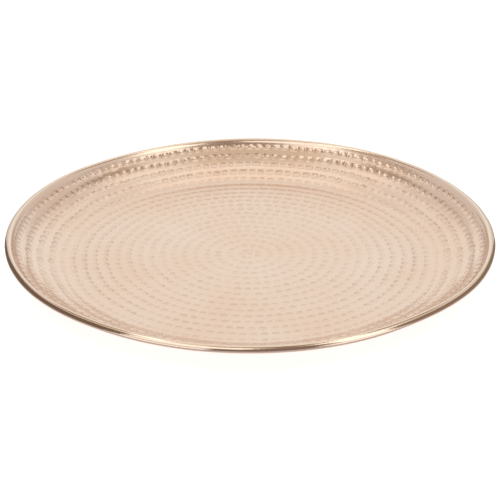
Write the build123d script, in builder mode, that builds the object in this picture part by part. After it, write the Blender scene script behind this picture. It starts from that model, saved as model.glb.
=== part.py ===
from build123d import *
import os
from math import acos, asin, atan2, cos, degrees, sin, sqrt

# A round, shallow serving tray of hammered copper, 400 mm across.
# It is raised from one disc of sheet: a flat floor, a gently sloping lower wall, a steeper
# upper wall and a plain lip, whose edge is rolled outwards and down round a stiffening wire.
# Millimetres, +Z up. The origin is the centre of the floor's underside, on which it rests.

# Overall sizes
tray_diameter = 400.0        # over the rolled rim
tray_height = 25.5           # from the underside of the floor to the top of the rim
sheet_thickness = 1.0

# Floor and wall, measured at the middle of the sheet's thickness
floor_diameter = 300.0       # to the corner where the floor turns up
wall_break_diameter = 355.6  # to the fold between the lower and the upper wall
wall_break_rise = 10.1       # height of that fold above the floor
rim_band = 8.4               # width of the plain rim, from the end of the wall outwards
rim_rise = 5.6               # height of the rim above the end of the wall

# Bends, also at the middle of the thickness
floor_bend_radius = 18.0
wall_bend_radius = 14.0
lip_bend_radius = 2.0

# Rolled edge and its wire
wire_diameter = 4.0
wire_clearance = 0.05        # all round, between the wire and the roll
roll_gap = 0.3               # between the roll's free edge and the underside of the lip
wire_joint_gap = 0.5         # where the two ends of the wire meet

# The roll's outer circle touches the overall diameter and the overall height.
roll_bore_radius = wire_diameter / 2 + wire_clearance
roll_middle_radius = roll_bore_radius + sheet_thickness / 2
roll_outer_radius = roll_bore_radius + sheet_thickness
roll_centre = Vector(tray_diameter / 2 - roll_outer_radius, tray_height - roll_outer_radius)

# Corners of the sheet's middle line, as radius and height
floor_level = sheet_thickness / 2
floor_centre = Vector(0, floor_level)
floor_corner = Vector(floor_diameter / 2, floor_level)
wall_break = Vector(wall_break_diameter / 2, floor_level + wall_break_rise)
wall_end = Vector(tray_diameter / 2 - rim_band, tray_height - rim_rise)

# The lip is a straight cone from the end of the wall that runs into the roll as a tangent.
reach = roll_centre - wall_end
lip_slope = atan2(reach.Y, reach.X) + asin(roll_middle_radius / reach.length)
lip_length = sqrt(reach.length**2 - roll_middle_radius**2)
lip_end = wall_end + Vector(cos(lip_slope), sin(lip_slope)) * lip_length

# The roll turns until its free edge comes back to the underside of the lip.
roll_turn = 360 - degrees(acos((roll_bore_radius - roll_gap) / roll_outer_radius))

os.makedirs("parts", exist_ok=True)


# Hammered sheet: floor, wall, lip and roll in one piece of constant thickness
with BuildPart() as hammered_sheet:
    with BuildSketch(Plane.XZ):
        with BuildLine():
            dish = FilletPolyline(
                floor_centre,
                floor_corner,
                wall_break,
                wall_end,
                lip_end,
                radius=(floor_bend_radius, wall_bend_radius, lip_bend_radius),
            )
            JernArc(dish @ 1, dish % 1, radius=roll_middle_radius, arc_size=-roll_turn)
        trace(line_width=sheet_thickness)
    revolve(axis=Axis.Z)

hammered_sheet.part.label = "hammered_sheet"
export_step(hammered_sheet.part, "parts/hammered_sheet.step")


# Rim wire: a round rod bent into a ring inside the roll, with its two ends butted together
with BuildPart() as rim_wire:
    with BuildSketch(Plane.XZ):
        with Locations(roll_centre):
            Circle(wire_diameter / 2)
    revolve(axis=Axis.Z, revolution_arc=360 - degrees(wire_joint_gap / roll_centre.X))

rim_wire.part.label = "rim_wire"
export_step(rim_wire.part, "parts/rim_wire.step")
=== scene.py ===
import random
from math import acos, asin, atan2, cos, degrees, exp, hypot, pi, radians, sin, sqrt, tan, tau

import bmesh
import bpy
from mathutils import Matrix, Vector, noise


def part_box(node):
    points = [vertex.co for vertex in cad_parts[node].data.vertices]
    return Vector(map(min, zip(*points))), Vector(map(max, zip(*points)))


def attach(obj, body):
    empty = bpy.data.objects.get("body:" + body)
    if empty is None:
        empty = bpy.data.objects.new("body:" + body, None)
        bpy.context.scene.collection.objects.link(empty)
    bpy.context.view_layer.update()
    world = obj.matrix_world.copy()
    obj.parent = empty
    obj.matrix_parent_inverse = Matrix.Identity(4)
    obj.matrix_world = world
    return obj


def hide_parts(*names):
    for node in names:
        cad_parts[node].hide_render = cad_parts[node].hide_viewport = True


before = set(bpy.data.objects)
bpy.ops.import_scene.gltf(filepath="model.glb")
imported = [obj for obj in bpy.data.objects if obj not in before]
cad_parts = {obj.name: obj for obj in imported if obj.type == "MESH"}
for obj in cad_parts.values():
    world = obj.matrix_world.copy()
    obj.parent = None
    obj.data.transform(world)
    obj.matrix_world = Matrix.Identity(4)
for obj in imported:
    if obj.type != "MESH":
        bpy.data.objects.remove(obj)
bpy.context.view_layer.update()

# A round serving tray of hammered copper. The sheet is laid out flat, hammered in rings from the
# middle outwards, and then raised: the flat disc is bent up into its floor, wall, lip and roll.
# Metres, +Z up. The origin is the centre of the floor's underside.

MM = 0.001
UP = Vector((0, 0, 1))

# Sizes that the frame gives
SHEET_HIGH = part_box("hammered_sheet")[1]
WIRE_LOW, WIRE_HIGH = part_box("rim_wire")
TRAY_RADIUS = SHEET_HIGH.x
TRAY_HEIGHT = SHEET_HIGH.z
WIRE_RADIUS = (WIRE_HIGH.z - WIRE_LOW.z) / 2
ROLL_CENTRE = Vector((WIRE_HIGH.x - WIRE_RADIUS, (WIRE_HIGH.z + WIRE_LOW.z) / 2))
ROLL_RADIUS = TRAY_RADIUS - ROLL_CENTRE.x

# The sheet's outline, with its corners measured at the middle of the thickness
SHEET = 1.0 * MM
FLOOR_RADIUS = 150.0 * MM
FOLD_RADIUS = 177.8 * MM
FOLD_RISE = 10.1 * MM
RIM_BAND = 8.4 * MM
RIM_RISE = 5.6 * MM
FLOOR_BEND = 18.0 * MM
FOLD_BEND = 14.0 * MM
LIP_BEND = 2.0 * MM
ROLL_GAP = 0.3 * MM

# Rings of hammer marks, from the middle outwards
MIDDLE_MARK = 3.6 * MM        # radius of the single mark in the middle
FLOOR_ROWS = 16               # rings on the flat floor
WALL_ROWS = (7.2 * MM, 11.0 * MM, 9.8 * MM)   # rings on the lower wall, from the floor up
UPPER_ROWS = (10.2 * MM,)     # on the upper wall; one more ring fills what is left up to the lip
LIP_MARKED = 3.6 * MM         # how far that last ring runs up the lip
WALL_RINGS = 4                # the outermost rings, which are struck harder
RING_RIDGE = 0.25 * MM        # what is left standing between two rings

# Spacing of the marks along a ring: closer in the middle of the floor
MARK_PITCH = 8.3 * MM
MARK_PITCH_MIDDLE = 7.0 * MM
FULL_PITCH_RADIUS = 80 * MM
MARK_SHIFT = 0.07             # how unevenly the marks sit and lean, as shares of their pitch
MARK_LEAN = 0.06

# The blow: each step shrinks the mark to a size, rounds it and sinks it by a share of the depth
MARK_DEPTH = 0.34 * MM
FLOOR_BLOW = ((0.92, 1.0, 0.06), (0.60, 1.0, 0.94))
WALL_BLOW = ((0.96, 0.6, 0.12), (0.70, 0.8, 0.98), (0.50, 1.0, 0.70))
BLOW_FORCE = (0.72, 1.15)     # lightest and heaviest
BLOW_AIM = 0.4 * MM           # how far off its middle a mark may be deepest
BEND_SOFTENING = 0.45         # lighter blows where the floor bends up, over this width
BEND_WIDTH = 9 * MM
SHEET_LIFT = 0.40 * MM        # crests of the marks over the level of a smooth sheet

# Rings laid by eye wander: how far apart the swings are, how wide, and where in the noise they start
WANDERS = ((9 * MM, 1.1 * MM, Vector()), (60 * MM, 1.5 * MM, UP))
TRUE_MIDDLE = 40 * MM         # true in the middle, and wandering freely from here outwards
TRUE_EDGE = 8 * MM            # true again at the field's edge, over this width
WANDER_SEED = 8
DICE_SEED = 1

# The rim: steps that lay out the lip and the roll, the crease before the lip, and the rim's light wave
LIP_STEPS = (0.0, 0.2, 0.6)
ROLL_STEPS = 16
LIP_CREASE = 0.22 * MM
CREASE_WIDTH = 0.8 * MM
RIM_WAVE = 0.12 * MM
WAVE_PACE = 11                # the higher, the more waves all round

# Where wall and rim are knocked out of round: bearing and half width in degrees, push out and rise
BENDS = (
    (310, 11, -1.6 * MM, 0.6 * MM),
    (122, 14, -1.8 * MM, -0.6 * MM),
    (235, 10, -0.8 * MM, 0.2 * MM),
    (58, 12, 0.0, 0.5 * MM),
)

# The wire
WIRE_JOINT = 0.5 * MM
WIRE_SLACK = 0.06 * MM        # thinner by this, so that its facets stay clear of the roll
WIRE_SIDES = 16
WIRE_STEPS = 240

# Colours of the metals
CREST_COPPER = (0.80, 0.585, 0.465, 1)
PALE_COPPER = (0.81, 0.645, 0.54, 1)
MARK_COPPER = (0.74, 0.54, 0.43, 1)
# Painted shade: the darker brown laid on the sloping sides of the marks
SLOPE_SHADE_BROWN = (0.54, 0.37, 0.27, 1)
RIM_COPPER = (0.83, 0.66, 0.54, 1)
DARK_STEEL = (0.47, 0.46, 0.45, 1)
LIGHT_STEEL = (0.56, 0.55, 0.54, 1)

# Light of the room, from its walls up to its ceiling
ROOM_WALL = (0.78, 0.765, 0.745, 1)
ROOM_UPPER_WALL = (0.80, 0.755, 0.72, 1)
ROOM_COVE = (1.18, 1.17, 1.09, 1)
ROOM_CEILING = (0.75, 0.68, 0.575, 1)
ROOM_BANDS = ((30, 44, ROOM_UPPER_WALL), (48, 57, ROOM_COVE), (64, 76, ROOM_CEILING))
PALE_FLOOR = (0.62, 0.62, 0.62)
FLOOR_GLOW = 0.72
FLOOR_REACH = 12.0
FENCE_STEPS = 12

# The camera
CAMERA_ELEVATION = 25.27
CAMERA_PITCH = 25.97
CAMERA_DISTANCE = 6.387 * TRAY_RADIUS
CAMERA_LENS = 111.74
CAMERA_REACH = 50


# ---------------------------------------------------------------- the outline of the sheet

def walk(point, heading, length, turn, distance):
    """Where an evenly turning path gets to, and which way it faces there."""
    if turn == 0:
        return point + Vector((cos(heading), sin(heading))) * distance, heading
    now = heading + turn * distance / length
    step = Vector((sin(now) - sin(heading), cos(heading) - cos(now)))
    return point + step * length / turn, now


def sheet_outline():
    """The upper face from the floor's middle to the roll's free edge: length and turn of each piece."""
    half = SHEET / 2
    middle = ROLL_RADIUS - half
    wall_end = Vector((TRAY_RADIUS - RIM_BAND, TRAY_HEIGHT - RIM_RISE))
    reach = ROLL_CENTRE - wall_end
    slope = atan2(reach.y, reach.x) + asin(middle / reach.length)
    lip_length = sqrt(reach.length_squared - middle ** 2)
    corners = [
        Vector((0, half)),
        Vector((FLOOR_RADIUS, half)),
        Vector((FOLD_RADIUS, half + FOLD_RISE)),
        wall_end,
        wall_end + Vector((cos(slope), sin(slope))) * lip_length,
    ]
    sides = [b - a for a, b in zip(corners, corners[1:])]
    headings = [atan2(side.y, side.x) for side in sides]
    pieces = []
    used = 0.0
    for side, bend, now, after in zip(sides, (FLOOR_BEND, FOLD_BEND, LIP_BEND), headings, headings[1:]):
        turn = after - now
        cut = bend * tan(turn / 2)
        pieces.append((side.length - used - cut, 0.0))
        pieces.append(((bend - half) * turn, turn))
        used = cut
    pieces.append((sides[-1].length - used, 0.0))
    bore = ROLL_RADIUS - SHEET
    roll_turn = tau - acos((bore - ROLL_GAP) / ROLL_RADIUS)
    pieces.append((ROLL_RADIUS * roll_turn, -roll_turn))
    return pieces


# The pieces are the floor, its bend, the lower wall, the fold, the upper wall, the lip's bend,
# the lip and the roll.
OUTLINE = sheet_outline()
LENGTHS = [length for length, turn in OUTLINE]
FOLD_AT = sum(LENGTHS[:3]) + LENGTHS[3] / 2
FIELD_EDGE = sum(LENGTHS[:5]) + LIP_MARKED
LIP_END = sum(LENGTHS[:7])
ROLL_END = sum(LENGTHS)


def on_outline(along):
    """Point of the upper face at a length along the outline, and the way it faces."""
    point, heading = Vector((0, SHEET)), 0.0
    for length, turn in OUTLINE:
        if along <= length or (length, turn) == OUTLINE[-1]:
            return walk(point, heading, length, turn, along)
        point, heading = walk(point, heading, length, turn, length)
        along -= length


# ---------------------------------------------------------------- the hammered sheet

def new_object(name, bm):
    """A smooth-shaded object from a finished bmesh."""
    mesh = bpy.data.meshes.new(name)
    bm.to_mesh(mesh)
    bm.free()
    mesh.shade_smooth()
    piece = bpy.data.objects.new(name, mesh)
    bpy.context.scene.collection.objects.link(piece)
    return piece


def bearing(item):
    """The direction of an edge or a face from the middle, which puts a ring of them in order."""
    verts = item.verts
    return atan2(sum(vert.co.y for vert in verts), sum(vert.co.x for vert in verts))


def ring_of_marks(bm, inner, outer, dice):
    """One ring of hammer marks as faces between two radii, with uneven ridges between them."""
    radius = (inner + outer) / 2
    spread = min(1.0, radius / FULL_PITCH_RADIUS)
    pitch = MARK_PITCH_MIDDLE + (MARK_PITCH - MARK_PITCH_MIDDLE) * spread
    count = round(tau * radius / pitch)
    ends = [bm.verts.new((r, 0, 0)) for r in (inner + RING_RIDGE / 2, outer - RING_RIDGE / 2)]
    side = bm.edges.new(ends)
    start = Matrix.Rotation(dice.uniform(0, tau), 3, "Z")
    bmesh.ops.rotate(bm, verts=ends, matrix=start)
    before = set(bm.faces)
    bmesh.ops.spin(bm, geom=ends + [side], axis=UP, angle=tau, steps=count, use_merge=True)
    faces = sorted((face for face in bm.faces if face not in before), key=bearing)
    step = tau / count
    for edge in sorted({edge for face in faces for edge in face.edges}, key=bearing):
        low, high = sorted(edge.verts, key=lambda vert: vert.co.length)
        if high.co.length - low.co.length < RING_RIDGE:
            continue
        turn = dice.gauss(0, MARK_SHIFT) * step
        lean = dice.gauss(0, MARK_LEAN) * step
        for vert, angle in ((low, turn + lean), (high, turn - lean)):
            bmesh.ops.rotate(bm, verts=[vert], matrix=Matrix.Rotation(angle, 3, "Z"))
    return faces


def halve_edges(bm):
    """Give every edge a vertex in its middle, set out to the round of its ring."""
    corners = set(bm.verts)
    bmesh.ops.bisect_edges(bm, edges=list(bm.edges), cuts=1)
    for vert in bm.verts:
        if vert not in corners:
            ends = [edge.other_vert(vert).co.length for edge in vert.link_edges]
            vert.co *= sum(ends) / len(ends) / vert.co.length


def boundary_loop(faces, outside):
    """Edges of a ring of faces that lie on its outer or inner side."""
    rim = [edge for face in faces for edge in face.edges if len(edge.link_faces) == 1]
    middle = sum(face.calc_center_median().length for face in faces) / len(faces)
    return [edge for edge in rim if (edge.verts[0].co.length > middle) == outside]


def blow_at(face):
    """How hard a mark is struck: less where the floor bends up into the wall."""
    off = (face.calc_center_median().length - FLOOR_RADIUS) / BEND_WIDTH
    return 1 - BEND_SOFTENING * exp(-off ** 2)


def off_by(dice):
    """How far a blow misses the middle of its mark, one way or the other."""
    return dice.uniform(-BLOW_AIM, BLOW_AIM)


def strike(bm, faces, steps, dice):
    """Sink each mark in steps, each smaller, rounder and deeper than the last. No two marks are alike."""
    sunk, tone = bm.verts.layers.float["sunk"], bm.verts.layers.float["mark_tone"]
    force = {face: dice.uniform(*BLOW_FORCE) * blow_at(face) for face in faces}
    aim = {face: Vector((off_by(dice), off_by(dice), 0)) for face in faces}
    shade = {face: dice.random() for face in faces}
    reached = 0.0
    for size, roundness, depth in steps:
        bmesh.ops.inset_individual(bm, faces=faces, thickness=0)
        reached += depth
        for face in faces:
            centre = face.calc_center_median()
            arms = [vert.co - centre for vert in face.verts]
            after = arms[1:] + arms[:1]
            before = arms[-1:] + arms[:-1]
            for vert, arm, first, second in zip(face.verts, arms, before, after):
                jut = max(0.0, 1 - (first.length + second.length) / 2 / arm.length)
                vert.co = centre + arm * size * (1 - roundness * jut)
                vert.co += (aim[face] - UP * MARK_DEPTH * force[face]) * depth
                vert[sunk] = reached
                vert[tone] = shade[face]


def drift(bm):
    """Let each ring wander a little, so that its marks crowd and spread."""
    for vert in bm.verts:
        out = vert.co.length
        share = max(0.0, min(1.0, (FIELD_EDGE - out) / TRUE_EDGE, out / TRUE_MIDDLE))
        shift = Vector()
        for swing, width, start in WANDERS:
            shift += noise.noise_vector(vert.co / swing + start) * width
        vert.co += Vector((shift.x, shift.y, 0)) * share


def hammer(bm, dice):
    """The hammered field as a flat disc: rings of marks round a single one, with ridges between."""
    edges = [MIDDLE_MARK]
    floor_end = FOLD_AT - sum(WALL_ROWS)
    for row in range(FLOOR_ROWS):
        edges.append(MIDDLE_MARK + (floor_end - MIDDLE_MARK) * (row + 1) / FLOOR_ROWS)
    for width in WALL_ROWS + UPPER_ROWS:
        edges.append(edges[-1] + width)
    edges.append(FIELD_EDGE)
    bmesh.ops.create_circle(bm, cap_ends=True, segments=6, radius=MIDDLE_MARK - RING_RIDGE / 2)
    rings = [list(bm.faces)]
    for inner, outer in zip(edges, edges[1:]):
        rings.append(ring_of_marks(bm, inner, outer, dice))
    halve_edges(bm)
    links = [(boundary_loop(a, True), boundary_loop(b, False)) for a, b in zip(rings, rings[1:])]
    for outer, inner in links:
        bmesh.ops.bridge_loops(bm, edges=outer + inner)
    floor_marks = [face for ring in rings[:-WALL_RINGS] for face in ring]
    wall_marks = [face for ring in rings[-WALL_RINGS:] for face in ring]
    drift(bm)
    strike(bm, floor_marks, FLOOR_BLOW, dice)
    strike(bm, wall_marks, WALL_BLOW, dice)


def lay_out_rim(bm):
    """Carry the flat disc on past the hammered field, ring by ring, as far as the roll's free edge."""
    loop = [edge for edge in bm.edges if edge.is_boundary]
    stops = [FIELD_EDGE + (LIP_END - FIELD_EDGE) * share for share in LIP_STEPS]
    for step in range(ROLL_STEPS + 1):
        stops.append(LIP_END + (ROLL_END - LIP_END) * step / ROLL_STEPS)
    for stop in stops:
        made = bmesh.ops.extrude_edge_only(bm, edges=loop)["geom"]
        fresh = {item for item in made if isinstance(item, bmesh.types.BMVert)}
        loop = [item for item in made if isinstance(item, bmesh.types.BMEdge)]
        for vert in fresh:
            vert.co *= stop / vert.co.length


def climb(along, start, end):
    """How far a place is on its way from one length along the sheet to another, from 0 to 1."""
    return min(1.0, max(0.0, (along - start) / (end - start)))


def hand_bend(point, along):
    """The tray is not quite round or level: its wall and rim are knocked in or up here and there."""
    share = climb(along, FLOOR_RADIUS, LIP_END)
    share = share * share * (3 - 2 * share)
    around = atan2(point.y, point.x)
    outward = Vector((cos(around), sin(around), 0))
    point = point + (outward + UP) * share * RIM_WAVE * noise.noise(outward * WAVE_PACE)
    for angle, width, push, rise in BENDS:
        off = (degrees(around) - angle + 180) % 360 - 180
        weight = share * exp(-0.5 * (off / width) ** 2)
        point = point + (outward * push + UP * rise) * weight
    return point


def raise_up(bm):
    """Bend the flat disc up into the tray."""
    polish = bm.verts.layers.float["polish"]
    for vert in bm.verts:
        along = hypot(vert.co.x, vert.co.y)
        around = atan2(vert.co.y, vert.co.x)
        lift = vert.co.z + SHEET_LIFT * (1 - climb(along, FLOOR_RADIUS, FIELD_EDGE))
        lift -= LIP_CREASE * exp(-((along - FIELD_EDGE) / CREASE_WIDTH) ** 2)
        vert[polish] = climb(along, FIELD_EDGE, LIP_END)
        point, heading = on_outline(along)
        point = point + Vector((-sin(heading), cos(heading))) * lift
        vert.co = hand_bend(Vector((point.x * cos(around), point.x * sin(around), point.y)), along)


def hammered_sheet():
    """The tray itself: one sheet, hammered, raised and rolled at its edge."""
    dice = random.Random(DICE_SEED)
    noise.seed_set(WANDER_SEED)
    bm = bmesh.new()
    for name in ("sunk", "mark_tone", "polish"):
        bm.verts.layers.float.new(name)
    hammer(bm, dice)
    lay_out_rim(bm)
    raise_up(bm)
    middle = min(bm.faces, key=lambda face: face.calc_center_median().length)
    bmesh.ops.recalc_face_normals(bm, faces=bm.faces)
    if middle.normal.z < 0:
        bmesh.ops.reverse_faces(bm, faces=bm.faces)
    bmesh.ops.solidify(bm, geom=list(bm.faces), thickness=SHEET)
    piece = new_object("hammered_tray", bm)
    piece.data.materials.append(hammered_copper())
    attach(piece, "root")
    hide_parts("hammered_sheet")


def stiffening_wire():
    """The steel wire inside the roll: a round rod bent to the rim, its two ends butted."""
    bm = bmesh.new()
    bmesh.ops.create_circle(bm, cap_ends=True, segments=WIRE_SIDES, radius=WIRE_RADIUS - WIRE_SLACK)
    bmesh.ops.rotate(bm, verts=bm.verts, matrix=Matrix.Rotation(pi / 2, 3, "X"))
    bmesh.ops.translate(bm, verts=bm.verts, vec=(ROLL_CENTRE.x, 0, ROLL_CENTRE.y))
    turn = tau - WIRE_JOINT / ROLL_CENTRE.x
    disc = bm.verts[:] + bm.edges[:] + bm.faces[:]
    bmesh.ops.spin(bm, geom=disc, axis=UP, angle=turn, steps=WIRE_STEPS)
    for vert in bm.verts:
        vert.co = hand_bend(vert.co, LIP_END)
    bmesh.ops.recalc_face_normals(bm, faces=bm.faces)
    piece = new_object("rim_stiffener", bm)
    piece.data.materials.append(drawn_steel())
    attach(piece, "root")
    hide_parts("rim_wire")


# ---------------------------------------------------------------- materials

def plain_material(name, colour, roughness, metallic):
    """A Principled material with an even finish."""
    material = bpy.data.materials.new(name)
    material.use_nodes = True
    shader = material.node_tree.nodes["Principled BSDF"]
    shader.inputs["Base Color"].default_value = (*colour, 1)
    shader.inputs["Roughness"].default_value = roughness
    shader.inputs["Metallic"].default_value = metallic
    return material


def node(tree, kind, **settings):
    """A new node with its properties set."""
    made = tree.nodes.new(kind)
    for name, value in settings.items():
        setattr(made, name, value)
    return made


def plug(tree, source, target):
    """Link a socket to a socket, or set a target to a plain value."""
    if isinstance(source, bpy.types.NodeSocket):
        tree.links.new(source, target)
    else:
        target.default_value = source


def blend_colours(tree, share, first, second):
    """One colour where the share is 0 and another where it is 1."""
    # The mix node takes its share at socket 0, and its two colours at sockets 6 and 7.
    mix = node(tree, "ShaderNodeMix", data_type="RGBA")
    plug(tree, share, mix.inputs[0])
    plug(tree, first, mix.inputs[6])
    plug(tree, second, mix.inputs[7])
    return mix.outputs[2]


def span(tree, value, low, high, start=0.0, stop=1.0):
    """Spread the values from low to high over the range from start to stop."""
    spread = node(tree, "ShaderNodeMapRange")
    plug(tree, value, spread.inputs["Value"])
    for name, number in (("From Min", low), ("From Max", high), ("To Min", start), ("To Max", stop)):
        spread.inputs[name].default_value = number
    return spread.outputs["Result"]


def add(tree, first, second):
    """The sum of two values."""
    total = node(tree, "ShaderNodeMath", operation="ADD")
    plug(tree, first, total.inputs[0])
    plug(tree, second, total.inputs[1])
    return total.outputs[0]


def times(tree, first, second):
    """The product of two values."""
    product = node(tree, "ShaderNodeMath", operation="MULTIPLY")
    plug(tree, first, product.inputs[0])
    plug(tree, second, product.inputs[1])
    return product.outputs[0]


def attribute(tree, name):
    """A value stored on the mesh."""
    return node(tree, "ShaderNodeAttribute", attribute_name=name).outputs["Fac"]


def satin_group():
    """Shared by both metals: cloudy patches, and the fine grain that scouring leaves."""
    tree = bpy.data.node_groups.new("satin_metal", "ShaderNodeTree")
    for name in ("Patch Scale", "Grain Scale"):
        tree.interface.new_socket(name, in_out="INPUT", socket_type="NodeSocketFloat")
    for name in ("Patches", "Grain"):
        tree.interface.new_socket(name, in_out="OUTPUT", socket_type="NodeSocketFloat")
    given = node(tree, "NodeGroupInput")
    result = node(tree, "NodeGroupOutput")
    place = node(tree, "ShaderNodeTexCoord").outputs["Object"]
    for scale, output, detail in (("Patch Scale", "Patches", 3.0), ("Grain Scale", "Grain", 2.0)):
        cloud = node(tree, "ShaderNodeTexNoise")
        plug(tree, place, cloud.inputs["Vector"])
        plug(tree, given.outputs[scale], cloud.inputs["Scale"])
        cloud.inputs["Detail"].default_value = detail
        plug(tree, span(tree, cloud.outputs["Fac"], 0.3, 0.7), result.inputs[output])
    return tree


def satin(tree, patch_scale, grain_scale):
    """Place the shared group, and give its two outputs."""
    group = bpy.data.node_groups.get("satin_metal") or satin_group()
    placed = node(tree, "ShaderNodeGroup", node_tree=group)
    placed.inputs["Patch Scale"].default_value = patch_scale
    placed.inputs["Grain Scale"].default_value = grain_scale
    return placed.outputs["Patches"], placed.outputs["Grain"]


def emboss(tree, shader, height, strength, distance):
    """A fine relief too small to model."""
    bump = node(tree, "ShaderNodeBump")
    bump.inputs["Strength"].default_value = strength
    bump.inputs["Distance"].default_value = distance
    plug(tree, height, bump.inputs["Height"])
    plug(tree, bump.outputs["Normal"], shader.inputs["Normal"])


def slope_shade_by_height(tree, sunk):
    """Painted shade: a darker brown on the sloping side of each mark, standing in for the dark
    reflections these slopes give, with more of it up the wall.
    """
    side = times(tree, span(tree, sunk, 0.10, 0.45), span(tree, sunk, 0.60, 1.0, 1.0, 0.0))
    height = node(tree, "ShaderNodeSeparateXYZ")
    plug(tree, node(tree, "ShaderNodeTexCoord").outputs["Object"], height.inputs[0])
    return times(tree, side, span(tree, height.outputs["Z"], 2 * MM, 18 * MM, 0.4, 1.4))


def hammered_copper():
    """Pale copper: burnished on the crests and the rim, duller and rosier down in the marks."""
    material = plain_material("hammered_copper", CREST_COPPER[:3], 0.3, 1.0)
    tree = material.node_tree
    shader = tree.nodes["Principled BSDF"]
    patches, grain = satin(tree, 14.0, 900.0)
    sunk, polish, tone = (attribute(tree, name) for name in ("sunk", "polish", "mark_tone"))
    field = blend_colours(tree, patches, CREST_COPPER, PALE_COPPER)
    marks = blend_colours(tree, span(tree, tone, 0, 1, 0.0, 0.35), field, MARK_COPPER)
    colour = blend_colours(tree, span(tree, sunk, 0.2, 0.9), field, marks)
    # Painted shade: a darker brown on the marks' slopes, stronger up the wall and varying from mark to
    # mark
    slope_shade = times(tree, slope_shade_by_height(tree, sunk), span(tree, tone, 0, 1, 0.2, 0.65))
    colour = blend_colours(tree, slope_shade, colour, SLOPE_SHADE_BROWN)
    colour = blend_colours(tree, span(tree, polish, 0.2, 0.9), colour, RIM_COPPER)
    plug(tree, colour, shader.inputs["Base Color"])
    dull = add(tree, span(tree, grain, 0, 1, 0.17, 0.24), span(tree, sunk, 0, 1, 0.0, 0.05))
    # For plain values, the mix node's two inputs are sockets 2 and 3.
    rough = node(tree, "ShaderNodeMix", data_type="FLOAT")
    plug(tree, polish, rough.inputs[0])
    plug(tree, dull, rough.inputs[2])
    plug(tree, span(tree, grain, 0, 1, 0.10, 0.16), rough.inputs[3])
    plug(tree, rough.outputs[0], shader.inputs["Roughness"])
    emboss(tree, shader, grain, 0.25, 0.05 * MM)
    return material


def drawn_steel():
    """Plain drawn wire: grey, with a dull grain."""
    material = plain_material("drawn_steel", DARK_STEEL[:3], 0.35, 1.0)
    tree = material.node_tree
    shader = tree.nodes["Principled BSDF"]
    patches, grain = satin(tree, 60.0, 1500.0)
    plug(tree, blend_colours(tree, patches, DARK_STEEL, LIGHT_STEEL), shader.inputs["Base Color"])
    plug(tree, span(tree, grain, 0, 1, 0.28, 0.42), shader.inputs["Roughness"])
    emboss(tree, shader, grain, 0.2, 0.03 * MM)
    return material


# ---------------------------------------------------------------- studio

def glowing_material(name, colour, roughness, glow, strength):
    """A matt material without shine that gives off light of its own."""
    material = plain_material(name, colour, roughness, 0)
    shader = material.node_tree.nodes["Principled BSDF"]
    shader.inputs["Specular IOR Level"].default_value = 0
    shader.inputs["Emission Color"].default_value = (*glow, 1)
    shader.inputs["Emission Strength"].default_value = strength
    return material


def card(name, azimuth, elevation, distance, width, height, glow):
    """A flat board that faces the tray. Azimuth 0 is behind the tray, and 90 is at its right."""
    bm = bmesh.new()
    bmesh.ops.create_grid(bm, x_segments=1, y_segments=1, size=0.5)
    bmesh.ops.scale(bm, verts=bm.verts, vec=(width, height, 1))
    bmesh.ops.translate(bm, verts=bm.verts, vec=(0, 0, -distance))
    bmesh.ops.rotate(bm, verts=bm.verts, matrix=Matrix.Rotation(radians(90 + elevation), 3, "X"))
    bmesh.ops.rotate(bm, verts=bm.verts, matrix=Matrix.Rotation(radians(-azimuth), 3, "Z"))
    hang(name, bm, glow)


def fence(name, start, end, near, far, height, glow):
    """A board bent round the tray between two bearings: flat from near to far, then upright."""
    bm = bmesh.new()
    line = [bm.verts.new(point) for point in ((near, 0, MM / 2), (far, 0, MM / 2), (far, 0, height))]
    edges = [bm.edges.new(pair) for pair in zip(line, line[1:])]
    bmesh.ops.rotate(bm, verts=line, matrix=Matrix.Rotation(radians(start), 3, "Z"))
    bmesh.ops.spin(bm, geom=line + edges, axis=UP, angle=radians(end - start), steps=FENCE_STEPS)
    hang(name, bm, glow)


def hang(name, bm, glow):
    """Make a board of its mesh. It glows evenly, and only shows as a reflection in the metal."""
    board = new_object(name, bm)
    board.data.materials.append(glowing_material(name, (0, 0, 0), 1.0, glow, 1.0))
    board.visible_camera = False
    board.visible_diffuse = False
    board.visible_shadow = False


def room():
    """Soft light from all round: white walls, brightest where they meet a warmer, dimmer ceiling."""
    world = bpy.data.worlds.new("studio_room")
    world.use_nodes = True
    tree = world.node_tree
    direction = node(tree, "ShaderNodeTexCoord").outputs["Generated"]
    height = node(tree, "ShaderNodeSeparateXYZ")
    plug(tree, direction, height.inputs[0])
    colour = ROOM_WALL
    for low, high, above in ROOM_BANDS:
        upward = span(tree, height.outputs["Z"], sin(radians(low)), sin(radians(high)))
        colour = blend_colours(tree, upward, colour, above)
    plug(tree, colour, tree.nodes["Background"].inputs["Color"])
    bpy.context.scene.world = world
    bpy.context.scene.view_settings.view_transform = "Standard"


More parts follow.
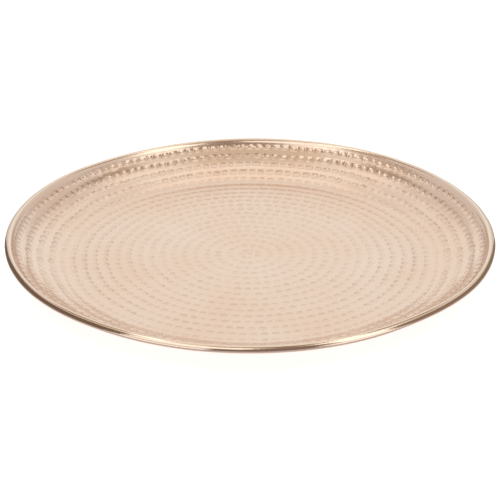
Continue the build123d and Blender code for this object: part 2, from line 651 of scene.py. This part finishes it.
def floor():
    """A white floor with hardly a shadow on it."""
    bm = bmesh.new()
    bmesh.ops.create_circle(bm, cap_ends=True, segments=64, radius=FLOOR_REACH)
    slab = new_object("studio_floor", bm)
    slab.data.materials.append(glowing_material("pale_floor", PALE_FLOOR, 0.9, (1, 1, 1), FLOOR_GLOW))


def studio():
    """A pale floor, a bright room and the boards that the polished rim mirrors."""
    floor()
    room()
    card("backdrop", 0, 24, 1.5, 0.80, 1.05, (1.00, 1.02, 0.98))
    fence("left_fence", 155, 230, 0.225, 0.32, 0.18, (0.19, 0.14, 0.10))
    fence("right_fence", -44, 25, 0.225, 0.32, 0.14, (0.28, 0.21, 0.15))
    fence("near_strip", 150, 390, 0.204, 0.245, 0.0, (0.58, 0.55, 0.59))
    fence("front_fence", 258, 291, 0.238, 0.36, 0.11, (0.24, 0.18, 0.145))
    fence("back_strip", 25, 155, 0.23, 0.90, 0.08, (0.50, 0.44, 0.39))
    card("left_high_flag", -105, 45, 1.1, 0.42, 0.30, (0.45, 0.36, 0.27))
    card("left_back_flag", -58, 54, 1.1, 0.50, 0.38, (0.40, 0.31, 0.225))
    card("right_back_flag", 58, 55, 1.1, 0.50, 0.36, (0.40, 0.32, 0.24))
    card("front_right_light", 127, 34, 1.2, 0.60, 1.0, (1.7, 1.7, 1.6))
    card("front_right_flag", 165, 42, 1.3, 0.95, 1.90, (0.31, 0.245, 0.20))
    card("left_strip_light", -90, 67, 1.1, 0.50, 0.08, (2.8, 2.8, 2.65))
    card("right_strip_light", 90, 67, 1.1, 0.50, 0.08, (2.3, 2.3, 2.2))
    card("front_left_light", -152, 42, 1.2, 1.12, 0.83, (1.35, 1.35, 1.3))


def camera():
    """The camera, in front of the tray and above it."""
    elevation = radians(CAMERA_ELEVATION)
    eye = bpy.data.cameras.new("camera")
    eye.lens = CAMERA_LENS
    eye.clip_end = CAMERA_REACH
    holder = bpy.data.objects.new("camera", eye)
    level = ROLL_CENTRE.y + CAMERA_DISTANCE * sin(elevation)
    holder.location = (0, -CAMERA_DISTANCE * cos(elevation), level)
    holder.rotation_euler = (radians(90 - CAMERA_PITCH), 0, 0)
    bpy.context.scene.collection.objects.link(holder)
    bpy.context.scene.camera = holder


studio()
camera()
hammered_sheet()
stiffening_wire()
